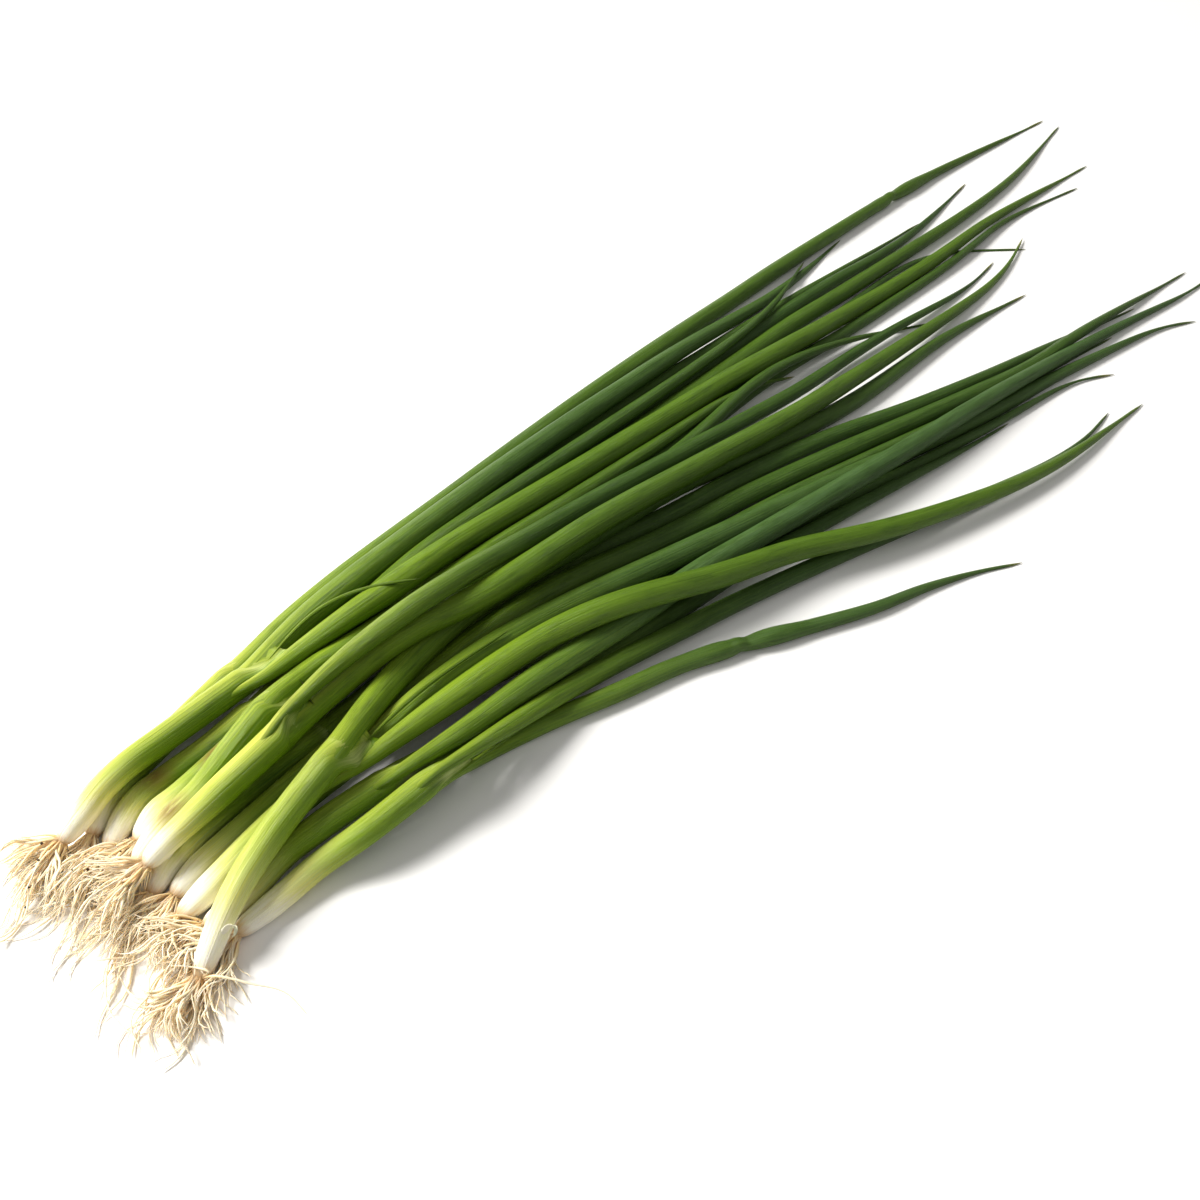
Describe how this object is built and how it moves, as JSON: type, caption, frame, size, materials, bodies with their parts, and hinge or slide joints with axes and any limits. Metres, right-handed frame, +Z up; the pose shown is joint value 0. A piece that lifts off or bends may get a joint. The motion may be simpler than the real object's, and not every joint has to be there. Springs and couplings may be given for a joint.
{
  "type": "scallion bunch",
  "caption": "Loose bunch of fresh scallions lying flat, white roots and bulbs at one end, long green tubular leaves fanning out at the other.",
  "frame": {"origin": "on the resting surface under the middle of the bunch's bounding box", "axes": "+X along the bunch from the roots to the leaf tips, +Z up"},
  "size_m": [0.5426, 0.1882, 0.0299],
  "materials": {
    "shank": "smooth, slightly glossy white stem turning yellow-green to green upwards",
    "leaf": "satin deep green with fine lengthwise veins and a thin waxy bloom",
    "roots": "dull cream root strands with tan shadows and specks of soil"
  },
  "bodies": {
    "root": {"scallion_01_leaf_a": "leaf", "scallion_01_leaf_b": "leaf", "scallion_01_leaf_c": "leaf", "scallion_01_roots": "roots", "scallion_01_shank": "shank", "scallion_02_leaf_a": "leaf", "scallion_02_leaf_b": "leaf", "scallion_02_roots": "roots", "scallion_02_shank": "shank", "scallion_03_leaf_a": "leaf", "scallion_03_roots": "roots", "scallion_03_shank": "shank", "scallion_04_leaf_a": "leaf", "scallion_04_leaf_b": "leaf", "scallion_04_roots": "roots", "scallion_04_shank": "shank", "scallion_05_leaf_a": "leaf", "scallion_05_leaf_b": "leaf", "scallion_05_roots": "roots", "scallion_05_shank": "shank", "scallion_06_leaf_a": "leaf", "scallion_06_leaf_b": "leaf", "scallion_06_leaf_c": "leaf", "scallion_06_roots": "roots", "scallion_06_shank": "shank", "scallion_07_leaf_a": "leaf", "scallion_07_leaf_b": "leaf", "scallion_07_roots": "roots", "scallion_07_shank": "shank", "scallion_08_leaf_a": "leaf", "scallion_08_leaf_b": "leaf", "scallion_08_roots": "roots", "scallion_08_shank": "shank", "scallion_09_leaf_a": "leaf", "scallion_09_leaf_b": "leaf", "scallion_09_leaf_c": "leaf", "scallion_09_roots": "roots", "scallion_09_shank": "shank", "scallion_10_leaf_a": "leaf", "scallion_10_leaf_b": "leaf", "scallion_10_leaf_c": "leaf", "scallion_10_roots": "roots", "scallion_10_shank": "shank", "scallion_11_leaf_a": "leaf", "scallion_11_leaf_b": "leaf", "scallion_11_leaf_c": "leaf", "scallion_11_roots": "roots", "scallion_11_shank": "shank", "scallion_12_leaf_a": "leaf", "scallion_12_leaf_b": "leaf", "scallion_12_roots": "roots", "scallion_12_shank": "shank"}
  },
  "joints": []
}
